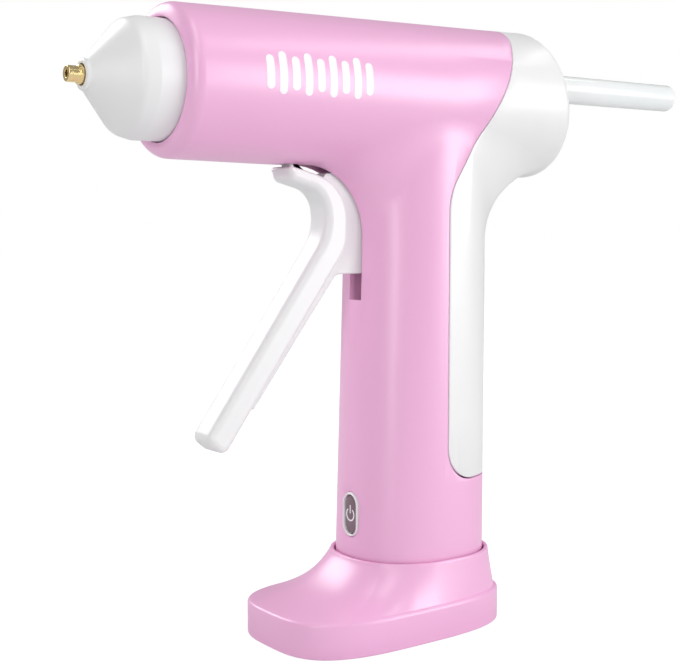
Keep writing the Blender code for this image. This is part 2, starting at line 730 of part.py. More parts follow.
def make_carriage(gun):
    low, high = RAIL_LOW, 125.6
    jaw_x, jaw_z = JAW_PIVOT
    body = axis_empty("carriage_slide", (4.5, 0, 120), gun)
    frame = box((2.0, -5.0, low), (7.0, 5.0, 136.4), 0.4)
    carriage = add_part("pusher_carriage", frame, NYLON, (4.5, 0, 120), body)
    cut(carriage, cylinder((0, 0, STICK_Z), (9, 0, STICK_Z), 4.2, 20))
    for side in (-1, 1):
        inner, outer = sorted((side * 2.5, side * 4.5))
        join(carriage, box((5.0, inner, low + 0.2), (29.0, outer, high)))
    join(carriage, box((5.0, -3.5, low + 0.2), (9.0, 3.5, 119.0)))
    cx, cz = CRANK
    cut(carriage, box((cx - 1.1, -9, cz - 2.0), (cx + 1.3, 9, high + 5)))
    cut(carriage, cylinder((jaw_x, -9, jaw_z), (jaw_x, 9, jaw_z), JAW_PIN_R + GAP, 12))

    swing = axis_empty("jaw_axis", (jaw_x, 0, jaw_z), body)
    tooth = [(jaw_x - 2.2, jaw_z - 1.8, 0.8), (jaw_x + 2.2, jaw_z - 1.8, 0.8), (jaw_x + 5.6, 124.4, 0.4)]
    tooth += [(jaw_x + 4.6, 125.85, 0.0), (jaw_x + 3.6, 124.9, 0.0), (jaw_x + 2.4, 125.85, 0.0)]
    tooth += [(jaw_x + 1.4, 124.9, 0.0), (jaw_x + 0.2, 125.85, 0.0), (jaw_x - 2.2, 123.4, 0.6)]
    jaw = add_part("grip_jaw", plate(rounded(tooth, 16), "Y", -2.1, 2.1), STEEL, (jaw_x, 0, jaw_z), swing)
    cut(jaw, cylinder((jaw_x, -5, jaw_z), (jaw_x, 5, jaw_z), JAW_PIN_R + GAP, 12))
    pin = cylinder((jaw_x, -4.7, jaw_z), (jaw_x, 4.7, jaw_z), JAW_PIN_R, 12)
    add_part("jaw_pin", pin, STEEL, (jaw_x, 0, jaw_z), body)


def make_return_spring(gun):
    """A coil between the frame's post and the carriage, below the stick."""
    start, end, turns, radius = -24.4, 1.2, 7, 1.7
    per_turn = 6
    points = []
    for k in range(turns * per_turn + 1):
        angle = 2 * math.pi * k / per_turn
        x = start + (end - start) * k / (turns * per_turn)
        points.append((x, radius * math.cos(angle), 119.6 + radius * math.sin(angle)))
    add_part("return_spring", tube(points, 0.32, 1), STEEL, (-11, 0, 119.6), gun)


def make_stick(gun):
    body = axis_empty("stick_slide", (STICK_REAR, 0, STICK_Z), gun)
    rod = cylinder((STICK_REAR, 0, STICK_Z), (STICK_FRONT, 0, STICK_Z), STICK_R, 24)
    stick = add_part("glue_stick", rod, GLUE, (STICK_REAR, 0, STICK_Z), body)
    bevel = stick.modifiers.new("Edge", "BEVEL")
    bevel.width = 0.25 * MM
    bevel.segments = 1
    bevel.limit_method = "ANGLE"
    bevel.angle_limit = math.radians(60)


# ---- power ----


def cylinder_arc(radius, first, last, steps):
    points = []
    for k in range(steps + 1):
        angle = first + (last - first) * k / steps
        points.append((CELL_X + radius * math.cos(angle), radius * math.sin(angle)))
    return points


def make_battery(gun):
    middle = (CELL_X, 0, (CELL_LOW + CELL_HIGH) / 2)
    can = cylinder((CELL_X, 0, CELL_LOW), (CELL_X, 0, CELL_HIGH), CELL_R, 32)
    cell = add_part("battery_cell", can, CELL, middle, gun)
    join(cell, cylinder((CELL_X, 0, CELL_HIGH - 1), (CELL_X, 0, CELL_HIGH + 0.6), 3.2, 16))
    quarter = math.pi / 2
    outer = cylinder_arc(10.7, quarter, 3 * quarter, 16)
    inner = cylinder_arc(9.5, 3 * quarter, quarter, 16)
    cradle = plate(outer + inner, "Z", CELL_LOW + 3, CELL_HIGH - 4)
    add_part("battery_cradle", cradle, NYLON, (CELL_X, 0, 60), gun)
    for name, low in (("battery_tab_top", CELL_HIGH + 0.9), ("battery_tab_bottom", CELL_LOW - 0.8)):
        tab = box((CELL_X - 4.0, -4.0, low), (CELL_X + 4.0, 4.0, low + 0.5))
        add_part(name, tab, STEEL, (CELL_X, 0, low), gun)


def make_electronics(gun):
    add_part("main_board", box((9.8, -7.8, 21.0), (11.4, 7.8, 72.0)), BOARD, (11, 0, 46), gun)
    can = box((11.7, -2.6, BUTTON_Z - 2.6), (12.8, 2.6, BUTTON_Z + 2.6))
    switch = add_part("power_switch", can, NYLON, (12.5, 0, BUTTON_Z), gun)
    join(switch, cylinder((12.5, 0, BUTTON_Z), (13.5, 0, BUTTON_Z), 1.4, 14))
    led_z = BUTTON_Z + 4.4
    lamp = box((11.7, -0.8, led_z - 0.6), (12.8, 0.8, led_z + 0.6), 0.2)
    add_part("status_led", lamp, WINDOW, (12.5, 0, led_z), gun)
    add_part("charge_board", box((-13.4, -6.5, 23.6), (6.0, 6.5, 25.0)), BOARD, (-5, 0, 24), gun)
    socket = add_part("usb_socket", plate(port_outline(1.6), "X", -17.0, -9.6), STEEL, (-13, 0, PORT_Z), gun)
    cut(socket, plate(port_outline(1.25), "X", -20.0, -11.0))
    join(socket, box((-15.6, -2.6, PORT_Z - 0.3), (-10.4, 2.6, PORT_Z + 0.3)))


def make_button(gun):
    outline = [(y, z + BUTTON_Z) for y, z in capsule(BUTTON_HALF, BUTTON_STRAIGHT)]
    bezel = add_part("button_bezel", plate(outline, "X", 15.2, 17.85), WHITE, (16, 0, BUTTON_Z), gun)
    opening = [(y, z + BUTTON_Z) for y, z in capsule(BUTTON_HALF - 0.75, BUTTON_STRAIGHT)]
    cut(bezel, plate(opening, "X", 14.0, 19.0))
    face = [(y, z + BUTTON_Z) for y, z in capsule(BUTTON_HALF - 1.05, BUTTON_STRAIGHT)]
    body = axis_empty("button_slide", (16, 0, BUTTON_Z), gun)
    cap = add_part("button_cap", plate(face, "X", 14.5, 17.6), WINDOW, (16, 0, BUTTON_Z), body)
    flange = [(y, z + BUTTON_Z) for y, z in capsule(BUTTON_HALF - 0.3, BUTTON_STRAIGHT)]
    join(cap, plate(flange, "X", 14.1, 14.8))


def make_wires(gun):
    for side, name, finish in ((1, "left", RED), (-1, "right", BLACK)):
        route = [
            (10.6, 6.4 * side, 72.9),
            (9.5, 6.6 * side, 80.0),
            (8.6, 7.2 * side, 92.0),
            (10.0, 7.4 * side, 104.0),
            (12.5, 7.8 * side, 110.5),
            (19.0, 8.4 * side, 114.6),
            (32.5, 8.8 * side, 115.2),
            (37.4, 8.0 * side, 113.7),
            (40.0, 5.4 * side, 112.8),
            (43.0, 3.9 * side, 112.8),
            (45.3, 3.6 * side, 113.3),
        ]
        add_part("heater_wire_" + name, tube(route, 0.55, 2), finish, (11, 6.4 * side, 73), gun)
    top = [(CELL_X, 3.0, 103.9), (2.2, 3.4, 105.0), (7.2, 3.8, 102.6)]
    top += [(8.2, 3.9, 96.0), (8.2, 3.9, 84.0), (8.9, 3.8, 71.0)]
    add_part("battery_wire_plus", tube(top, 0.5), RED, (0, 3, 103), gun)
    low = [(CELL_X + 2.0, 2.0, 35.0), (2.0, 4.0, 33.4), (6.0, 4.4, 33.6), (8.8, 4.4, 35.0)]
    add_part("battery_wire_minus", tube(low, 0.5), BLACK, (0, 2, 34), gun)


def main():
    gun = axis_empty("gun_lift", (0.0, 0.0, HANDLE_FOOT))
    make_base()
    make_housing(gun)
    make_rear_cover(gun)
    make_foot_cap(gun)
    make_nose(gun)
    make_heater(gun)
    make_feed_frame(gun)
    make_trigger(gun)
    make_carriage(gun)
    make_return_spring(gun)
    make_stick(gun)
    make_battery(gun)
    make_electronics(gun)
    make_button(gun)
    make_wires(gun)


main()
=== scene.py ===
import math

import bmesh
import bpy
from mathutils import Matrix, Vector
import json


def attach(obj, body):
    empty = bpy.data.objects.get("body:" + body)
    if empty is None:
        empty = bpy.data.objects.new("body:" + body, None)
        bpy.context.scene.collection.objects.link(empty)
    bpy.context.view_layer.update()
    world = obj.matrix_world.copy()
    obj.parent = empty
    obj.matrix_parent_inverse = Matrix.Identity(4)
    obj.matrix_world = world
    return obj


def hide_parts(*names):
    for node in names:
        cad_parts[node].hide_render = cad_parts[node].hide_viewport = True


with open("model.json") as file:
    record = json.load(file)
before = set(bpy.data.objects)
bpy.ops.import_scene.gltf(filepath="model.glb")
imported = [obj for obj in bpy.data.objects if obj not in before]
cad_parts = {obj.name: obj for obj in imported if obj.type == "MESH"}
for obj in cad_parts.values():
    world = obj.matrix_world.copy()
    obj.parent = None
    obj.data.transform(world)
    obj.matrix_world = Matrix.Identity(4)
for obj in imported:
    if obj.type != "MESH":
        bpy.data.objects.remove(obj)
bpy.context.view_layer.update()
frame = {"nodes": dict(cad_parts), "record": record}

# Meshes are made in millimetres, in the row's frame: +X forward, +Y the gun's left, +Z up.
MM = 0.001
GAP = 0.3
WALL = 2.0
EDGE = 0.16
WELD = 0.07
# Round solids start at odd angles, so that their mesh lines don't fall on one another in a Boolean.
TURNED_PHASE = 0.013
CYLINDER_PHASE = 0.03

AXIS_Z = 124.6
BARREL_FRONT = 66.7
BARREL_REAR = -36.0
BARREL_R_FRONT = 16.0
BARREL_R_REAR = 17.7
FRONT_ROUND = 2.9
REAR_ROUND = 2.6
REAR_LEAN = math.radians(9.3)
LEAN_FROM = -18.0

HANDLE_FOOT = 8.9
COLLAR_Z = 17.6
HANDLE_FRONT_LOW = 17.7
HANDLE_FRONT_HIGH = 16.0
HANDLE_HIGH_Z = 90.0
HANDLE_REAR = 17.6
HANDLE_HALF_WIDTH = 15.6
HANDLE_POWER = 2.4
HANDLE_POWER_LOW = 2.28
HANDLE_POWER_HIGH = 1.98
COLUMN_POWER = 0.9
BLEND_R = 16.0
REAR_BLEND_MORE = 9.0
BLEND_SINK = 0.03

SEAM_X = 0.9
SEAM_LOW = 35.6
NOSE_BORE = 12.8
SLOT_HALF = 2.2
SLOT_LOW = 77.6
SLOT_TOP = 112.5
SLOT_REAR = 9.0
SLOT_FRONT = 36.9
RIB_OUT = 2.9

PIVOT = (32.5, 110.8)
PIVOT_HALF = 6.4
PIVOT_BORE = 1.3
CRANK = (25.5, 122.2)
CRANK_BORE = 1.05
LEVER_HALF = 4.0
WEB_HALF = 1.8

STICK_R = 3.5
STICK_Z = 129.7
STICK_REAR = -90.0
STICK_FRONT = 46.0
INLET_R = 5.5
COVER_SCREW_Z = 113.0
COVER_SCREW_BORE = 1.4
COVER_SCREW_SINK = 2.7

BUTTON_Z = 27.4
BUTTON_HALF = 2.9
BUTTON_STRAIGHT = 2.35
BUTTON_PLAY = 0.08
BUTTON_TOP = 17.42
PORT_Z = 27.6
PORT_STRAIGHT = 2.95
PORT_HOLE = 1.9
PORT_OUTSIDE = 1.6
PORT_INSIDE = 1.25

MARK_X = 24.4
MARK_PITCH = 3.1
MARK_Z = 126.0
MARK_HALF = 0.95
MARK_LOW = 7.0
MARK_HIGH = 8.8

TOE = 40.5
HEEL = -20.5
BASE_HALF_FRONT = 19.8
BASE_HALF_REAR = 18.8
BASE_POWER = 3.2
BASE_AROUND = 240
SOLE_Z = 0.05
RIM_Z = 8.2
RIM_STRAIGHT = 0.9
BOOT_BLEND = 1.05
BOOT_HOLLOW = 0.75
HOLLOW_SPAN = 16.0
TOE_PULL = 4.0
SOCKET_FLOOR = 6.6
SOCKET_PLAY = 0.42
COLLAR_WALL = 0.9
BASE_SCREWS_X = (31.0, -11.0)
BASE_POST_R = 2.6
BASE_POST_BORE = 1.2


# ---- mesh tools ----


def from_bmesh(bm):
    bmesh.ops.recalc_face_normals(bm, faces=bm.faces)
    mesh = bpy.data.meshes.new("made")
    bm.to_mesh(mesh)
    bm.free()
    return mesh


def evaluated(mesh, setup, *others):
    """The mesh after the modifiers that `setup` adds to an object of it."""
    objects = [bpy.data.objects.new("work", m) for m in (mesh, *others)]
    for obj in objects:
        bpy.context.scene.collection.objects.link(obj)
    setup(*objects)
    graph = bpy.context.evaluated_depsgraph_get()
    made = bpy.data.meshes.new_from_object(objects[0].evaluated_get(graph))
    for obj in objects:
        bpy.data.objects.remove(obj, do_unlink=True)
    return made


def boolean(mesh, operation, *others):
    for other in others:

        def setup(obj, tool):
            modifier = obj.modifiers.new("Boolean", "BOOLEAN")
            modifier.operation = operation
            modifier.solver = "EXACT"
            modifier.object = tool

        mesh = evaluated(mesh, setup, other)
    return mesh


def cut(mesh, *others):
    return boolean(mesh, "DIFFERENCE", *others)


def join(mesh, *others):
    return boolean(mesh, "UNION", *others)


def keep(mesh, other):
    return boolean(mesh, "INTERSECT", other)


def round_edges(mesh, width, segments=2, angle=42, weld=0.02):
    """Rounds every edge sharper than an angle, after points closer than `weld` are made one."""
    bm = bmesh.new()
    bm.from_mesh(mesh)
    bmesh.ops.remove_doubles(bm, verts=bm.verts, dist=weld)
    bmesh.ops.dissolve_degenerate(bm, edges=bm.edges, dist=weld)
    mesh = from_bmesh(bm)

    def setup(obj):
        modifier = obj.modifiers.new("Bevel", "BEVEL")
        modifier.width = width
        modifier.segments = segments
        modifier.limit_method = "ANGLE"
        modifier.angle_limit = math.radians(angle)
        modifier.use_clamp_overlap = False
        modifier.miter_outer = "MITER_ARC"

    return evaluated(mesh, setup)


def grid(rings, loop=False):
    """A solid through rings of equally many points, with flat ends. A loop joins its last ring to its first
    instead."""
    bm = bmesh.new()
    rows = [[bm.verts.new(point) for point in ring] for ring in rings]
    pairs = list(zip(rows, rows[1:]))
    if loop:
        pairs.append((rows[-1], rows[0]))
    for lower, upper in pairs:
        for i in range(len(lower)):
            j = (i + 1) % len(lower)
            bm.faces.new((lower[i], lower[j], upper[j], upper[i]))
    if not loop:
        bm.faces.new(reversed(rows[0]))
        bm.faces.new(rows[-1])
    return from_bmesh(bm)


def turned(profile, steps=96, height=AXIS_Z):
    """A solid turned about a line along X, from points (x, radius). A radius of 0 at both ends closes it;
    otherwise the last point joins the first."""
    bm = bmesh.new()
    rows = []
    for x, radius in profile:
        if radius <= 0:
            rows.append([bm.verts.new((x, 0.0, height))])
            continue
        ring = []
        for k in range(steps):
            angle = 2 * math.pi * k / steps + TURNED_PHASE
            ring.append(bm.verts.new((x, radius * math.cos(angle), height + radius * math.sin(angle))))
        rows.append(ring)
    pairs = list(zip(rows, rows[1:]))
    if profile[0][1] > 0:
        pairs.append((rows[-1], rows[0]))
    for first, second in pairs:
        for i in range(steps):
            j = (i + 1) % steps
            if len(first) == 1:
                bm.faces.new((first[0], second[i], second[j]))
            elif len(second) == 1:
                bm.faces.new((first[i], second[0], first[j]))
            else:
                bm.faces.new((first[i], second[i], second[j], first[j]))
    return from_bmesh(bm)


def prism(outline, axis, low, high):
    """A flat outline with a thickness. Its points are the two axes that are left, in order."""
    place = {
        "X": lambda u, v, w: (w, u, v),
        "Y": lambda u, v, w: (u, w, v),
        "Z": lambda u, v, w: (u, v, w),
    }[axis]
    return grid([[place(u, v, w) for u, v in outline] for w in (low, high)])


def cylinder(start, end, radius, sides=48):
    start, end = Vector(start), Vector(end)
    turn = (end - start).to_track_quat("Z", "Y").to_matrix().to_4x4()
    turn = turn @ Matrix.Rotation(CYLINDER_PHASE, 4, "Z")
    bm = bmesh.new()
    bmesh.ops.create_cone(
        bm,
        cap_ends=True,
        segments=sides,
        radius1=radius,
        radius2=radius,
        depth=(end - start).length,
        matrix=Matrix.Translation((start + end) / 2) @ turn,
    )
    return from_bmesh(bm)


def box(low, high):
    size = Vector(high) - Vector(low)
    middle = (Vector(high) + Vector(low)) / 2
    place = Matrix.Translation(middle) @ Matrix.Diagonal((*size, 1.0))
    bm = bmesh.new()
    bmesh.ops.create_cube(bm, size=1.0, matrix=place)
    return from_bmesh(bm)


def rounded(corners, per_turn=96, closed=True):
    """An outline whose corners, (x, y, radius), become arcs. Numbers after these go with each point."""
    points = []
    count = len(corners)
    for i, (x, y, radius, *more) in enumerate(corners):
        if radius <= 0 or (not closed and i in (0, count - 1)):
            points.append((x, y, *more))
            continue
        here = Vector((x, y))
        before = (Vector(corners[i - 1][:2]) - here).normalized()
        after = (Vector(corners[(i + 1) % count][:2]) - here).normalized()
        half = before.angle(after) / 2
        middle = here + (before + after).normalized() * radius / math.sin(half)
        start = here + before * radius / math.tan(half) - middle
        turn = math.pi - 2 * half
        sign = 1.0 if start.x * before.y - start.y * before.x < 0 else -1.0
        steps = max(2, round(per_turn * turn / (2 * math.pi)))
        for k in range(steps + 1):
            points.append((*(middle + Matrix.Rotation(sign * turn * k / steps, 2) @ start), *more))
    return points


def rolled(outline, half, arc=7):
    """A flat piece, `half` to each side of the middle plane, whose edges are rounded all along by the
    radius that is each outline point's third number."""
    count = len(outline)
    area = sum(
        outline[i][0] * outline[(i + 1) % count][1] - outline[(i + 1) % count][0] * outline[i][1]
        for i in range(count)
    )
    side = 1.0 if area > 0 else -1.0
    inward = []
    for i in range(count):
        here = Vector(outline[i][:2])
        before = (here - Vector(outline[i - 1][:2])).normalized()
        after = (Vector(outline[(i + 1) % count][:2]) - here).normalized()
        along = (before + after).normalized()
        inward.append(Vector((-along.y, along.x)) * side / max(0.5, along.dot(after)))
    rings = []
    for face in (-1, 1):
        layers = []
        for k in range(arc + 1):
            angle = math.pi / 2 * k / arc
            layers.append((1 - math.cos(angle), 1 - math.sin(angle), 0.0))
        layers.append((1.0, 0.0, 0.1))
        made = []
        for share, down, more in layers:
            ring = []
            for (x, z, radius), normal in zip(outline, inward):
                move = normal * (radius * share + more)
                ring.append((x + move.x, face * (half - radius * down), z + move.y))
            made.append(ring)
        rings += reversed(made) if face < 0 else made
    return grid(rings)


def together(*meshes):
    """Several closed meshes as one."""
    bm = bmesh.new()
    for mesh in meshes:
        bm.from_mesh(mesh)
    mesh = bpy.data.meshes.new("made")
    bm.to_mesh(mesh)
    bm.free()
    return mesh


def capsule(half_width, straight, sides=24):
    points = []
    for end, first in ((1, 0.0), (-1, math.pi)):
        for k in range(sides + 1):
            angle = first + math.pi * k / sides
            points.append((half_width * math.cos(angle), end * straight + half_width * math.sin(angle)))
    return points


# ---- outer form of the gun ----


def barrel_radius(x):
    share = (x - BARREL_REAR) / (BARREL_FRONT - BARREL_REAR)
    return BARREL_R_REAR + (BARREL_R_FRONT - BARREL_R_REAR) * share


def barrel_form(inset=0.0, steps=160, arc=10):
    front, rear = BARREL_FRONT - inset, BARREL_REAR + inset
    radius_front = BARREL_R_FRONT - inset
    radius_rear = BARREL_R_REAR - inset
    front_round = max(FRONT_ROUND - inset, 0.6)
    rear_round = max(REAR_ROUND - inset, 0.6)
    profile = [(front, 0.0)]
    for k in range(arc + 1):
        angle = math.pi / 2 * k / arc
        reach = front_round * math.sin(angle)
        profile.append((front - front_round * (1 - math.cos(angle)), radius_front - front_round + reach))
    for x in (48.0, 32.0, 16.0, 0.0, LEAN_FROM):
        profile.append((x, barrel_radius(x) - inset))
    for k in range(arc + 1):
        angle = math.pi / 2 * k / arc
        reach = rear_round * math.cos(angle)
        profile.append((rear + rear_round * (1 - math.sin(angle)), radius_rear - rear_round + reach))
    profile.append((rear, 0.0))
    mesh = turned(profile, steps)
    for vertex in mesh.vertices:
        share = min(1.0, max(0.0, (LEAN_FROM - vertex.co.x) / (LEAN_FROM - BARREL_REAR)))
        vertex.co.x += (vertex.co.z - AXIS_Z) * math.tan(REAR_LEAN) * share
    return mesh


def handle_point(angle, z, inset=0.0):
    """A point of the handle's outline at a height. One angle keeps nearly one x at every height, so that
    the mesh's lines never run close beside the seam."""
    share = min(1.0, max(0.0, (z - COLLAR_Z) / (HANDLE_HIGH_Z - COLLAR_Z)))
    cosine, sine = math.cos(angle), math.sin(angle)
    reach, power = HANDLE_REAR, HANDLE_POWER
    if cosine > 0:
        reach = HANDLE_FRONT_LOW + (HANDLE_FRONT_HIGH - HANDLE_FRONT_LOW) * share
        power = HANDLE_POWER_LOW + (HANDLE_POWER_HIGH - HANDLE_POWER_LOW) * share
    ahead = abs(cosine) ** COLUMN_POWER
    aside = max(0.0, 1 - ahead**power) ** (1 / power)
    x = (reach - inset) * math.copysign(ahead, cosine)
    y = (HANDLE_HALF_WIDTH - inset) * math.copysign(aside, sine)
    return x, y


def handle_form(inset=0.0, foot=HANDLE_FOOT, around=72, blend_steps=14):
    """The handle up to the barrel, with the blend that a rolling ball leaves. The ball is larger
    diagonally behind."""
    columns = []
    for i in range(around):
        angle = 2 * math.pi * i / around
        x, y = handle_point(angle, HANDLE_HIGH_Z, inset)
        ahead = Vector(handle_point(angle + 0.004, HANDLE_HIGH_Z, inset))
        behind = Vector(handle_point(angle - 0.004, HANDLE_HIGH_Z, inset))
        along = (ahead - behind).normalized()
        out = Vector((along.y, -along.x))
        ball = BLEND_R + inset + REAR_BLEND_MORE * (2 * min(0.0, out.x) * out.y) ** 2
        cx, cy = x + out.x * ball, y + out.y * ball
        radius = barrel_radius(cx) - inset - BLEND_SINK
        drop = math.sqrt(max((radius + ball) ** 2 - cy**2, 1.0))
        centre = Vector((cx, cy, AXIS_Z - drop))
        touch = Vector((cx, cy * radius / (radius + ball), AXIS_Z - drop * radius / (radius + ball)))
        heights = (foot, 20.0, 35.0, 50.0, 65.0, 80.0, HANDLE_HIGH_Z)
        column = [(*handle_point(angle, z, inset), z) for z in heights]
        first = (Vector((x, y, centre.z)) - centre).normalized()
        last = (touch - centre).normalized()
        for k in range(blend_steps + 1):
            column.append(tuple(centre + first.slerp(last, k / blend_steps) * ball))
        column.append((touch.x * 0.8, touch.y * 0.6, AXIS_Z - 3.0))
        columns.append(column)
    return grid([[column[row] for column in columns] for row in range(len(columns[0]))])


def cover_region(play):
    """The space behind the seam. Play moves the seam backwards."""
    line = [
        (-25.6, 150.0, 0.0),
        (-25.6, 144.2, 0.0),
        (-19.9, 136.3, 22.0),
        (-15.6, 128.2, 0.0),
        (-9.4, 117.2, 0.0),
        (SEAM_X, 102.2, 14.0),
        (SEAM_X, SEAM_LOW, 7.5),
        (-30.0, SEAM_LOW, 0.0),
        (-60.0, SEAM_LOW, 0.0),
        (-60.0, 150.0, 0.0),
    ]
    moved = []
    for x, z, radius in line:
        back = 0.0 if x < -50 else play
        up = play if z == SEAM_LOW else 0.0
        moved.append((x - back, z + up, radius))
    return prism(rounded(moved, 120), "Y", -40.0, 40.0)


# ---- the base's form ----


def superellipse():
    """One point of the base's unit outline for each of its columns."""
    points = []
    for i in range(BASE_AROUND):
        angle = 2 * math.pi * (i + 0.5) / BASE_AROUND
        cosine, sine = math.cos(angle), math.sin(angle)
        u = math.copysign(abs(cosine) ** (2 / BASE_POWER), cosine)
        v = math.copysign(abs(sine) ** (2 / BASE_POWER), sine)
        points.append((u, v))
    return points


def base_outline(inset=0.0, high=0.0):
    middle = (TOE + HEEL) / 2
    half = (TOE - HEEL) / 2
    points = []
    for u, v in superellipse():
        width = BASE_HALF_REAR + (BASE_HALF_FRONT - BASE_HALF_REAR) * (u + 1) / 2
        points.append((middle + (half - inset) * u, (width - inset) * v, high))
    return points


def foot_outline(grow, high):
    """The handle's outline at the collar, grown outwards, with its points in the base outline's order."""
    points = []
    for x, y, _ in base_outline():
        angle = math.atan2(y * HANDLE_REAR / HANDLE_HALF_WIDTH, x - TOE_PULL * (x > 0) * x / TOE)
        px, py = handle_point(angle, COLLAR_Z)
        points.append((px * (1 + grow / HANDLE_REAR), py * (1 + grow / HANDLE_HALF_WIDTH), high))
    return points


def boot_rings(inset, rim, top, foot_grow, rows=30):
    """The boot's sloping top, from its rim in to the collar, hollowed most where the slope is long."""
    rings = []
    sole = base_outline(inset)
    foot = foot_outline(foot_grow, top)
    for k in range(rows + 1):
        s = k / rows
        blend = 1 - (1 - s) ** BOOT_BLEND
        ring = []
        for (x0, y0, _), (x1, y1, _) in zip(sole, foot):
            hollow = min(1.0, math.hypot(x1 - x0, y1 - y0) / HOLLOW_SPAN)
            climb = s + hollow * BOOT_HOLLOW * (s**3 - s)
            ring.append((x0 + (x1 - x0) * blend, y0 + (y1 - y0) * blend, rim + (top - rim) * climb))
        rings.append(ring)
    return rings


# ---- materials ----


class Nodes:
    """Adds nodes to a new material and links them, so that each recipe below stays short."""

    def __init__(self, name):
        self.material = bpy.data.materials.new(name)
        self.material.use_nodes = True
        self.tree = self.material.node_tree
        self.shader = self.tree.nodes["Principled BSDF"]
        self.place = self.tree.nodes.new("ShaderNodeTexCoord").outputs["Object"]

    def link(self, out, into):
        self.tree.links.new(out, into)

    def noise(self, scale, detail=3.0, stretch=(1.0, 1.0, 1.0), roughness=0.5):
        mapping = self.tree.nodes.new("ShaderNodeMapping")
        mapping.inputs["Scale"].default_value = stretch
        self.link(self.place, mapping.inputs["Vector"])
        node = self.tree.nodes.new("ShaderNodeTexNoise")
        node.inputs["Scale"].default_value = scale
        node.inputs["Detail"].default_value = detail
        node.inputs["Roughness"].default_value = roughness
        self.link(mapping.outputs["Vector"], node.inputs["Vector"])
        return node.outputs["Fac"]

    def spread(self, value, low, high, first=0.35, last=0.65):
        node = self.tree.nodes.new("ShaderNodeMapRange")
        node.inputs["From Min"].default_value = first
        node.inputs["From Max"].default_value = last
        node.inputs["To Min"].default_value = low
        node.inputs["To Max"].default_value = high
        self.link(value, node.inputs["Value"])
        return node.outputs["Result"]

    def mix(self, factor, first, second):
        node = self.tree.nodes.new("ShaderNodeMix")
        node.data_type = "RGBA"
        for name, value in (("A", first), ("B", second)):
            socket = [s for s in node.inputs if s.name == name and s.type == "RGBA"][0]
            if isinstance(value, tuple):
                socket.default_value = (*value, 1.0)
            else:
                self.link(value, socket)
        self.link(factor, node.inputs[0])
        return [s for s in node.outputs if s.type == "RGBA"][0]

    def bump(self, *layers):
        """Height layers, (value, strength, distance in metres), one on another."""
        normal = None
        for value, strength, distance in layers:
            node = self.tree.nodes.new("ShaderNodeBump")
            node.inputs["Strength"].default_value = strength
            node.inputs["Distance"].default_value = distance
            self.link(value, node.inputs["Height"])
            if normal is not None:
                self.link(normal, node.inputs["Normal"])
            normal = node.outputs["Normal"]
        self.link(normal, self.shader.inputs["Normal"])

    def set(self, **values):
        for name, value in values.items():
            socket = self.shader.inputs[name.replace("_", " ")]
            if hasattr(value, "is_output"):
                self.link(value, socket)
            else:
                socket.default_value = value


def tint(colour, by):
    return tuple(min(1.0, part * by) for part in colour)


def plastic(name, colour, rough=0.34, spread=0.04, grain=0.25, coat=0.0, sheen=0.5):
    """Moulded plastic: faint flow marks in its colour, uneven gloss and a fine spark-eroded grain."""
    m = Nodes(name)
    flow = m.noise(55.0, 4.0, (1.0, 1.0, 0.35))
    smudge = m.noise(170.0, 3.0)
    fine = m.noise(2600.0, 2.0)
    waves = m.noise(120.0, 2.0)
    colour_out = m.mix(m.spread(flow, 0.0, 1.0, 0.1, 0.9), tint(colour, 0.985), tint(colour, 1.01))
    m.set(Base_Color=colour_out, Roughness=m.spread(smudge, rough - spread, rough + spread, 0.1, 0.9))
    m.set(Coat_Weight=coat, Coat_Roughness=0.12, Specular_IOR_Level=sheen)
    m.bump((waves, 0.06, 0.0002), (fine, grain, 0.00002))
    return m.material


def metal(name, colour, rough, stretch=(1.0, 1.0, 1.0), scale=900.0, depth=0.2, dark=0.8):
    """Machined or rolled metal: fine lines along one direction, uneven gloss, darker patches."""
    m = Nodes(name)
    lines = m.noise(scale, 5.0, stretch)
    patch = m.noise(180.0, 3.0)
    m.set(Metallic=1.0, Base_Color=m.mix(m.spread(patch, 0.0, 1.0), tint(colour, dark), colour))
    m.set(Roughness=m.spread(lines, rough - 0.06, rough + 0.08))
    m.bump((lines, depth, 0.00001))
    return m.material


def rubber(name, colour, rough=0.7):
    m = Nodes(name)
    grain = m.noise(1400.0, 4.0)
    dust = m.noise(90.0, 5.0)
    m.set(Base_Color=m.mix(m.spread(dust, 0.0, 1.0), colour, tint(colour, 1.5)))
    m.set(Roughness=m.spread(grain, rough - 0.1, rough + 0.1))
    m.bump((grain, 0.35, 0.00006))
    return m.material


def ceramic(name, colour):
    m = Nodes(name)
    specks = m.noise(1900.0, 4.0, roughness=0.7)
    cloud = m.noise(140.0, 3.0)
    m.set(Base_Color=m.mix(m.spread(cloud, 0.0, 1.0), tint(colour, 0.9), colour))
    m.set(Roughness=m.spread(specks, 0.5, 0.75))
    m.bump((specks, 0.3, 0.00003))
    return m.material


def circuit_board(name, colour):
    """Solder mask over copper tracks: blocks of slightly lighter green, with a glossy coat."""
    m = Nodes(name)
    cells = m.tree.nodes.new("ShaderNodeTexVoronoi")
    cells.distance = "CHEBYCHEV"
    cells.inputs["Scale"].default_value = 420.0
    m.link(m.place, cells.inputs["Vector"])
    tracks = m.spread(cells.outputs["Distance"], 0.0, 1.0, 0.35, 0.42)
    m.set(Base_Color=m.mix(tracks, colour, tint(colour, 1.7)), Coat_Weight=0.6, Coat_Roughness=0.1)
    m.set(Roughness=m.spread(m.noise(700.0), 0.3, 0.45))
    m.bump((tracks, 0.4, 0.00004))
    return m.material


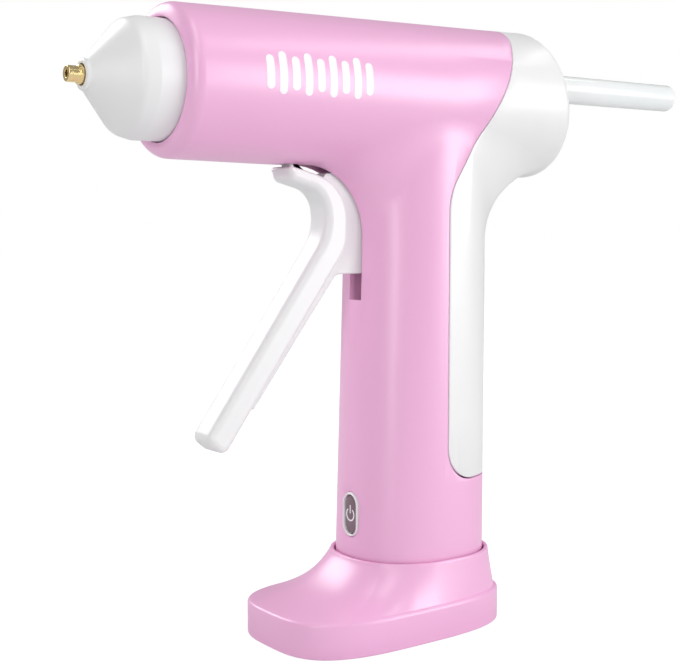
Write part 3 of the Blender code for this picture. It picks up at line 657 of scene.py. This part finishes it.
def glue(name):
    """Clear hot-melt glue: pale, slightly blue, with soft swirls and a waxy surface."""
    m = Nodes(name)
    swirl = m.noise(160.0, 4.0, (0.25, 1.0, 1.0))
    wax = m.noise(900.0, 3.0, (0.3, 1.0, 1.0))
    m.set(Base_Color=m.mix(m.spread(swirl, 0.0, 1.0), (0.95, 0.985, 0.99), (0.985, 0.998, 1.0)))
    m.set(Roughness=m.spread(wax, 0.10, 0.20), IOR=1.46, Transmission_Weight=0.12)
    m.bump((wax, 0.12, 0.00004))
    return m.material


def smoked(name):
    """Tinted window: dark mauve, glossy, a little lighter in soft patches: painted light standing in for
    the lamp behind lighting it. The same noise gives a faint ripple in the surface.
    """
    m = Nodes(name)
    painted_backlight_and_ripple = m.noise(420.0, 2.0, (1.0, 0.5, 0.3))
    # painted light: the lighter mauve is the glow of the lamp behind the window, painted into the base
    # colour
    m.set(Base_Color=m.mix(m.spread(painted_backlight_and_ripple, 0.0, 1.0), (0.13, 0.065, 0.095), (0.24, 0.14, 0.19)))
    m.set(Roughness=m.spread(m.noise(900.0), 0.10, 0.18), Coat_Weight=0.8, Coat_Roughness=0.06)
    m.bump((painted_backlight_and_ripple, 0.05, 0.0001))
    return m.material


PINK_COLOUR = (0.90, 0.47, 0.735)
WHITE_COLOUR = (0.86, 0.86, 0.865)
LOOKS = {
    "pink_plastic": plastic("pink_satin", PINK_COLOUR, 0.33, 0.01, sheen=0.95),
    "white_plastic": plastic("white_satin", WHITE_COLOUR, 0.34, 0.01, sheen=0.6),
    "brass": metal("turned_brass", (1.0, 0.79, 0.40), 0.20, (12.0, 1.0, 1.0), 500.0, 0.03, 0.94),
    "aluminium": metal("cast_aluminium", (0.74, 0.75, 0.76), 0.42),
    "steel": metal("plain_steel", (0.62, 0.62, 0.63), 0.30),
    "ceramic": ceramic("ceramic_body", (0.82, 0.79, 0.70)),
    "silicone": rubber("red_silicone", (0.50, 0.10, 0.06), 0.5),
    "rubber": rubber("sole_rubber", (0.05, 0.045, 0.05), 0.75),
    "board": circuit_board("board_green", (0.03, 0.16, 0.07)),
    "cell_sleeve": plastic("cell_wrap", (0.06, 0.20, 0.42), 0.30, coat=0.3),
    "clear_glue": glue("glue_clear"),
    "smoked_window": smoked("window_smoked"),
    "grey_nylon": plastic("nylon_grey", (0.36, 0.37, 0.39), 0.5, grain=0.4),
    "fuse_body": ceramic("fuse_shell", (0.74, 0.74, 0.66)),
    "red_sleeve": plastic("sleeve_red", (0.50, 0.03, 0.03), 0.42),
    "black_sleeve": plastic("sleeve_black", (0.03, 0.03, 0.03), 0.45),
}
PRINT = plastic("white_print", (0.95, 0.93, 0.95), 0.45, grain=0.1)


def piece(name, mesh, body, slot, *nodes, look=None, sharp=32):
    """Puts a mesh made in millimetres into the scene, on its body, in place of CAD nodes."""
    mesh.transform(Matrix.Scale(MM, 4))
    mesh.name = name
    mesh.materials.clear()
    mesh.materials.append(look or LOOKS[slot])
    mesh.shade_smooth()
    mesh.set_sharp_from_angle(angle=math.radians(sharp))
    obj = bpy.data.objects.new(name, mesh)
    bpy.context.scene.collection.objects.link(obj)
    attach(obj, body)
    if nodes:
        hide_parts(*nodes)


# ---- the gun's skin ----


def port_outline(half_height):
    return [(y, PORT_Z + z) for z, y in capsule(half_height, PORT_STRAIGHT)]


def skin_blank():
    outer = join(barrel_form(), handle_form())
    return cut(outer, barrel_form(WALL, 96, 4), handle_form(WALL, HANDLE_FOOT - 2, 72, 8))


def pivot_bore():
    x, z = PIVOT
    return cylinder((x, -PIVOT_HALF, z), (x, PIVOT_HALF, z), PIVOT_BORE, 32)


def slot_ribs():
    """Guide ribs inside the skin, on both sides of the slot: one pair upright, one above the lever."""
    ribs = []
    for low, high in ((-RIB_OUT, -SLOT_HALF), (SLOT_HALF, RIB_OUT)):
        ribs.append(box((10.0, low, SLOT_LOW - 1.5), (14.3, high, 109.0)))
        ribs.append(cut(box((21.0, low, 109.2), (SLOT_FRONT + 0.6, high, 115.0)), pivot_bore()))
    return ribs


def make_skin():
    blank = skin_blank()
    button_hole = [(y, z + BUTTON_Z) for y, z in capsule(BUTTON_HALF + BUTTON_PLAY, BUTTON_STRAIGHT)]
    housing = cut(
        blank.copy(),
        cover_region(0.0),
        cylinder((62.0, 0, AXIS_Z), (75.0, 0, AXIS_Z), NOSE_BORE, 128),
        box((SLOT_REAR, -SLOT_HALF, SLOT_LOW), (SLOT_FRONT, SLOT_HALF, SLOT_TOP)),
        prism(button_hole, "X", 12.0, 22.0),
        prism(port_outline(PORT_HOLE), "X", -22.0, -12.0),
        pivot_bore(),
    )
    housing = together(round_edges(housing, EDGE, weld=WELD), *slot_ribs())
    piece("body_skin", housing, "gun", "pink_plastic", "main_housing")
    high = COVER_SCREW_Z
    cover = keep(blank, cover_region(GAP))
    cover = cut(
        cover,
        cylinder((-50, 0, STICK_Z), (-20, 0, STICK_Z), INLET_R + GAP, 72),
        cylinder((-50, 0, high), (-20, 0, high), COVER_SCREW_BORE, 32),
        cylinder((-50, 0, high), (-36.6, 0, high), COVER_SCREW_SINK, 48),
    )
    piece("cover_skin", round_edges(cover, EDGE, weld=WELD), "gun", "white_plastic", "rear_cover")


def make_nose():
    corners = [
        (83.4, 2.25, 0.0),
        (83.4, 3.15, 0.55),
        (82.6, 3.25, 0.4),
        (75.0, 11.75, 3.2),
        (72.0, 12.5, 1.4),
        (64.2, 12.5, 0.0),
        (64.2, 13.5, 0.2),
        (62.6, 13.5, 0.2),
        (62.6, 11.2, 0.2),
        (73.0, 11.0, 0.5),
        (81.3, 2.25, 0.0),
    ]
    piece("nose", turned(rounded(corners, 64), 144), "gun", "white_plastic", "nose_cone", sharp=50)
    tip = [
        (86.6, 0.75, 0.12),
        (86.6, 1.65, 0.22),
        (84.25, 1.65, 0.1),
        (84.2, 1.95, 0.16),
        (83.2, 1.95, 0.1),
        (83.1, 1.65, 0.0),
        (79.6, 1.65, 0.0),
        (79.6, 2.9, 0.1),
        (77.9, 2.9, 0.1),
        (77.9, 1.6, 0.0),
        (72.5, 1.6, 0.1),
        (72.5, 0.75, 0.0),
    ]
    piece("nozzle", turned(rounded(tip, 40), 72), "gun", "brass", "nozzle_tip", sharp=50)


# ---- trigger ----


def lever_mesh():
    """The lever, from (x, z, corner radius, edge radius), finger side first. That side is rounded most."""
    outline = [
        (57.9, 49.0, 2.0, 1.7),
        (26.5, 92.9, 12.0, 1.9),
        (26.7, 102.0, 6.0, 1.6),
        (36.6, 104.6, 2.0, 1.5),
        (36.6, 107.9, 0.7, 0.6),
        (32.4, 106.9, 0.0, 0.5),
        (21.2, 104.0, 10.5, 0.7),
        (21.2, 90.1, 8.0, 0.8),
        (53.2, 45.2, 2.0, 1.4),
    ]
    return rolled(rounded(outline, 120), LEVER_HALF)


def web_outline():
    x, z = PIVOT
    corners = [
        (44.9, 54.4, 0.6),
        (22.7, 83.8, 2.2),
        (13.4, 83.8, 0.6),
        (13.4, 95.0, 6.0),
        (17.2, 104.6, 4.0),
        (22.4, 106.9, 1.0),
        (25.6, 106.5, 0.5),
        (27.4, 104.2, 0.0),
        (32.9, 105.4, 0.0),
        (32.9, 108.2, 0.0),
        (x - 2.4, z - 1.9, 1.0),
        (CRANK[0] - 2.0, CRANK[1] - 1.4, 0.8),
        (CRANK[0] - 1.6, CRANK[1] + 1.9, 1.2),
        (CRANK[0] + 1.8, CRANK[1] + 1.9, 1.2),
        (x + 2.7, z + 2.2, 1.5),
        (35.2, z - 1.4, 1.0),
        (35.2, 105.9, 0.0),
        (33.0, 104.6, 0.0),
        (27.0, 103.2, 0.0),
        (24.6, 101.0, 0.0),
        (24.3, 91.5, 0.0),
        (49.0, 57.5, 0.0),
    ]
    return [(*point, 0.3) for point in rounded(corners, 96)]


def make_trigger():
    web = rolled(web_outline(), WEB_HALF, 4)
    x, z = PIVOT
    cx, cz = CRANK
    pivot = cylinder((x, -5, z), (x, 5, z), PIVOT_BORE, 40)
    web = cut(web, pivot, cylinder((cx, -5, cz), (cx, 5, cz), CRANK_BORE, 32))
    piece("lever", together(lever_mesh(), web), "trigger", "white_plastic", "trigger", sharp=40)


# ---- button ----


def capsule_ring(half, x):
    return [(x, y, z + BUTTON_Z) for y, z in capsule(half, BUTTON_STRAIGHT, 32)]


def make_button():
    lip = [(0.0, 15.2), (0.0, 17.3), (0.04, 17.5), (0.12, 17.65), (0.26, 17.74), (0.38, 17.72)]
    lip += [(0.5, 17.6), (0.56, 17.4), (0.57, 17.2), (0.57, 15.2)]
    rings = [capsule_ring(BUTTON_HALF - inset, x) for inset, x in lip]
    piece("button_rim", grid(rings, loop=True), "gun", "white_plastic", "button_bezel", sharp=60)
    top = BUTTON_TOP
    face = [(0.3, 14.1), (0.3, 14.8), (0.8, 14.8), (0.8, top - 0.3), (0.84, top - 0.16)]
    face += [(0.95, top - 0.05), (1.15, top), (2.3, top + 0.04)]
    rings = [capsule_ring(BUTTON_HALF - inset, x) for inset, x in face]
    piece("button_window", grid(rings), "button", "smoked_window", "button_cap", sharp=60)
    piece("power_symbol", power_symbol(top + 0.02, top + 0.09), "button", "white_plastic", look=PRINT)


def power_symbol(low, high, radius=1.42, stroke=0.17, opening=0.62):
    """The usual power sign: an open ring with a bar at its gap."""
    ring = []
    steps = 48
    for side, order in ((radius + stroke, range(steps + 1)), (radius - stroke, range(steps, -1, -1))):
        for k in order:
            angle = math.pi / 2 + opening + (2 * math.pi - 2 * opening) * k / steps
            ring.append((side * math.cos(angle), BUTTON_Z + side * math.sin(angle)))
    bar = [(y, BUTTON_Z + 1.25 + z) for y, z in capsule(stroke, 0.85, 8)]
    return join(prism(ring, "X", low, high), prism(bar, "X", low, high))


# ---- small pieces and the stick ----


def mark_ring(x, z, half):
    """One level of a printed bar: a thin slab on the barrel's surface."""
    reach = math.sqrt(barrel_radius(x) ** 2 - (z - AXIS_Z) ** 2)
    corners = ((-1, -0.05), (1, -0.05), (1, 0.03), (-1, 0.03))
    return [(x + side * half, reach + up, z) for side, up in corners]


def make_mark():
    """A plain printed mark on the barrel's left side: nine upright bars that follow the surface."""
    bars = []
    turns = [math.pi / 2 * k / 8 for k in range(1, 9)]
    for number in range(9):
        straight = (MARK_HIGH if number % 2 else MARK_LOW) / 2 - MARK_HALF
        cap = [(straight + MARK_HALF * math.cos(turn), MARK_HALF * math.sin(turn)) for turn in turns]
        count = max(1, round(straight / 0.2))
        middle = [(straight * (2 * n / count - 1), MARK_HALF) for n in range(1, count)]
        levels = [(-up, half) for up, half in cap] + middle + cap[::-1]
        x = MARK_X + MARK_PITCH * number
        bars.append(grid([mark_ring(x, MARK_Z + up, half) for up, half in levels]))
    piece("barrel_mark", together(*bars), "gun", "white_plastic", look=PRINT)


def make_inlet():
    bush = [(-24.0, INLET_R, 0.1), (-35.95, INLET_R, 0.5), (-36.3, 4.9, 0.4)]
    bush += [(-35.0, 4.1, 0.5), (-24.0, 4.1, 0.1)]
    ring = turned(rounded(bush, 48), 96, STICK_Z)
    piece("inlet_ring", ring, "gun", "grey_nylon", "inlet_bush", sharp=50)


def make_cover_screw():
    """A pan-head screw with a cross recess."""
    head = [(-38.1, 0.0), (-38.1, 1.5), (-38.0, 1.9), (-37.75, 2.25), (-37.4, 2.4), (-36.9, 2.4)]
    shank = [(-36.9, 1.1), (-27.3, 1.1), (-26.5, 0.4), (-26.5, 0.0)]
    mesh = turned(head + shank, 48, COVER_SCREW_Z)
    for half_y, half_z in ((0.28, 1.35), (1.35, 0.28)):
        low = (-39.0, -half_y, COVER_SCREW_Z - half_z)
        mesh = cut(mesh, box(low, (-37.45, half_y, COVER_SCREW_Z + half_z)))
    piece("back_screw", round_edges(mesh, 0.06, 1, 50, 0.005), "gun", "steel", "cover_screw", sharp=45)


def make_port():
    shell = prism(port_outline(PORT_OUTSIDE), "X", -17.0, -9.6)
    shell = cut(shell, prism(port_outline(PORT_INSIDE), "X", -20.0, -11.0))
    tongue = box((-15.6, -2.6, PORT_Z - 0.3), (-10.4, 2.6, PORT_Z + 0.3))
    shell = round_edges(join(shell, tongue), 0.1, 2, 60)
    piece("port_shell", shell, "gun", "steel", "usb_socket", sharp=45)


def make_stick():
    """The glue stick, with a small meniscus-like dish in its rear end where it was cut."""
    corners = [
        (STICK_FRONT, 0.0, 0.0),
        (STICK_FRONT, STICK_R, 0.35),
        (STICK_REAR, STICK_R, 0.3),
        (STICK_REAR, STICK_R - 0.7, 0.2),
        (STICK_REAR + 0.25, 0.0, 0.0),
    ]
    profile = rounded(corners, 40, closed=False)
    middle = [(x, STICK_R) for x in (30.0, 10.0, -10.0, -30.0, -50.0, -70.0)]
    split = next(i for i, (x, _) in enumerate(profile) if x < 0)
    rod = turned(profile[:split] + middle + profile[split:], 64, STICK_Z)
    piece("stick", rod, "stick", "clear_glue", "glue_stick", sharp=50)


# ---- base ----


def base_edge():
    """Rings of the base's lower edge, upright side and rounded rim, from the ground up."""
    rings = []
    for inset, up in ((0.6, 0.0), (0.3, 0.05), (0.1, 0.18), (0.0, 0.5)):
        rings.append(base_outline(inset, SOLE_Z + up))
    rings.append(base_outline(0.0, RIM_Z - RIM_STRAIGHT))
    for k in range(1, 6):
        angle = math.pi / 2 * k / 6
        high = RIM_Z - RIM_STRAIGHT + 0.85 * math.sin(angle)
        rings.append(base_outline(0.7 * (1 - math.cos(angle)), high))
    return rings


def collar_and_socket():
    """Rings over the collar's rounded lip and down the inside of the socket."""
    outside = SOCKET_PLAY + COLLAR_WALL
    rings = []
    for grow, down in (
        (outside - 0.06, 0.12),
        (outside - 0.2, 0.02),
        (outside - 0.35, 0.0),
        (SOCKET_PLAY + 0.3, 0.0),
        (SOCKET_PLAY + 0.1, 0.04),
        (SOCKET_PLAY + 0.02, 0.15),
        (SOCKET_PLAY, 0.6),
    ):
        rings.append(foot_outline(grow, COLLAR_Z - down))
    rings.append(foot_outline(SOCKET_PLAY, SOCKET_FLOOR))
    return rings


def make_base():
    rings = base_edge() + boot_rings(0.85, RIM_Z, COLLAR_Z - 0.3, SOCKET_PLAY + COLLAR_WALL)
    shell = grid(rings + collar_and_socket())
    under = grid([base_outline(WALL, high=-1.0), base_outline(WALL, high=SOCKET_FLOOR - 1.6)])
    shell = cut(shell, under)
    for x in BASE_SCREWS_X:
        shell = join(shell, cylinder((x, 0, 3.0), (x, 0, SOCKET_FLOOR - 0.8), BASE_POST_R, 48))
        shell = cut(shell, cylinder((x, 0, 0.0), (x, 0, 5.4), BASE_POST_BORE, 32))
    piece("boot", shell, "base", "pink_plastic", "base_shell", sharp=40)
    edge = WALL + GAP
    sole = []
    for inset, up in ((edge + 0.3, 0.0), (edge + 0.08, 0.08), (edge, 0.3), (edge, 1.2)):
        sole.append(base_outline(inset, up))
    piece("sole", grid(sole), "base", "rubber", "base_foot_pad", sharp=40)


def dress_frame():
    """Gives every CAD node that still shows its procedural material."""
    slots = {entry["node"]: entry["material_slot"] for entry in frame["record"]["subparts"]}
    for name, obj in frame["nodes"].items():
        obj.data.materials.clear()
        obj.data.materials.append(LOOKS[slots[name]])


# ---- floor, lights and camera, in metres ----

FLOOR_REACH = 4.0
FLOOR_DROP = 0.00005
FLOOR_GLOW = 0.91
WORLD_LIGHT = 0.32
LIGHT_AIM = (0.01, 0.0, 0.09)
LENS = 67.83
CAMERA_SPOT = (0.19085, 0.23860, 0.09473)
CAMERA_TARGET = (0.02057, 0.0, 0.06961)


def area_light(name, azimuth, elevation, size, power):
    """A soft panel 1 m from the object, in a direction in degrees from +X towards +Y and upwards."""
    light = bpy.data.lights.new(name, "AREA")
    light.shape = "RECTANGLE"
    light.size, light.size_y = size
    light.energy = power
    obj = bpy.data.objects.new(name, light)
    bpy.context.scene.collection.objects.link(obj)
    turn, rise = math.radians(azimuth), math.radians(elevation)
    reach = Vector((math.cos(turn) * math.cos(rise), math.sin(turn) * math.cos(rise), math.sin(rise)))
    obj.location = Vector(LIGHT_AIM) + reach
    obj.rotation_euler = reach.to_track_quat("Z", "Y").to_euler()


def make_floor():
    """A pale floor that gives the object a matt bounce and looks nearly white to the camera."""
    bm = bmesh.new()
    corners = ((-1, -1), (1, -1), (1, 1), (-1, 1))
    bm.faces.new([bm.verts.new((x * FLOOR_REACH, y * FLOOR_REACH, -FLOOR_DROP)) for x, y in corners])
    mesh = from_bmesh(bm)
    m = Nodes("studio_floor")
    seen = m.tree.nodes.new("ShaderNodeLightPath").outputs["Is Camera Ray"]
    paper = m.mix(m.spread(m.noise(3.0), 0.0, 1.0), (0.73, 0.73, 0.735), (0.75, 0.75, 0.75))
    m.set(Base_Color=m.mix(seen, paper, (0.30, 0.29, 0.295)))
    glow = m.spread(seen, 0.0, FLOOR_GLOW, 0.0, 1.0)
    m.set(Roughness=0.6, Specular_IOR_Level=0.0)
    m.set(Emission_Color=(1.0, 1.0, 1.0, 1.0), Emission_Strength=glow)
    mesh.materials.append(m.material)
    floor = bpy.data.objects.new("floor", mesh)
    bpy.context.scene.collection.objects.link(floor)


def make_lights():
    bpy.context.scene.view_settings.view_transform = "Standard"
    area_light("key", 129.5, 10.0, (0.55, 0.45), 3.9)
    area_light("overhead", 55.0, 62.0, (0.25, 0.9), 2.1)
    area_light("back", -72.0, 32.0, (0.5, 0.5), 4.7)
    area_light("band_tall", 31.0, 14.0, (0.12, 0.80), 2.6)
    area_light("band_wide", 125.0, 1.0, (1.0, 0.05), 0.7)
    area_light("band_high", 154.0, 50.0, (0.9, 0.10), 1.3)


def make_world():
    """Even white light, with a brighter white where the camera looks past the object."""
    world = bpy.data.worlds.new("studio")
    bpy.context.scene.world = world
    world.use_nodes = True
    tree = world.node_tree
    soft = tree.nodes["Background"]
    soft.inputs["Color"].default_value = (1.0, 1.0, 1.0, 1.0)
    soft.inputs["Strength"].default_value = WORLD_LIGHT
    backdrop = tree.nodes.new("ShaderNodeBackground")
    backdrop.inputs["Color"].default_value = (1.0, 1.0, 1.0, 1.0)
    backdrop.inputs["Strength"].default_value = 1.0
    path = tree.nodes.new("ShaderNodeLightPath")
    mix = tree.nodes.new("ShaderNodeMixShader")
    tree.links.new(path.outputs["Is Camera Ray"], mix.inputs["Fac"])
    tree.links.new(soft.outputs["Background"], mix.inputs[1])
    tree.links.new(backdrop.outputs["Background"], mix.inputs[2])
    tree.links.new(mix.outputs["Shader"], tree.nodes["World Output"].inputs["Surface"])


def make_camera():
    camera = bpy.data.cameras.new("camera")
    camera.sensor_width = 36.0
    camera.lens = LENS
    camera.clip_start = 0.01
    obj = bpy.data.objects.new("camera", camera)
    bpy.context.scene.collection.objects.link(obj)
    spot, target = Vector(CAMERA_SPOT), Vector(CAMERA_TARGET)
    obj.location = spot
    obj.rotation_euler = (target - spot).to_track_quat("-Z", "Y").to_euler()
    bpy.context.scene.camera = obj


make_camera()
dress_frame()
make_skin()
make_nose()
make_trigger()
make_button()
make_mark()
make_inlet()
make_cover_screw()
make_port()
make_stick()
make_base()
make_floor()
make_world()
make_lights()
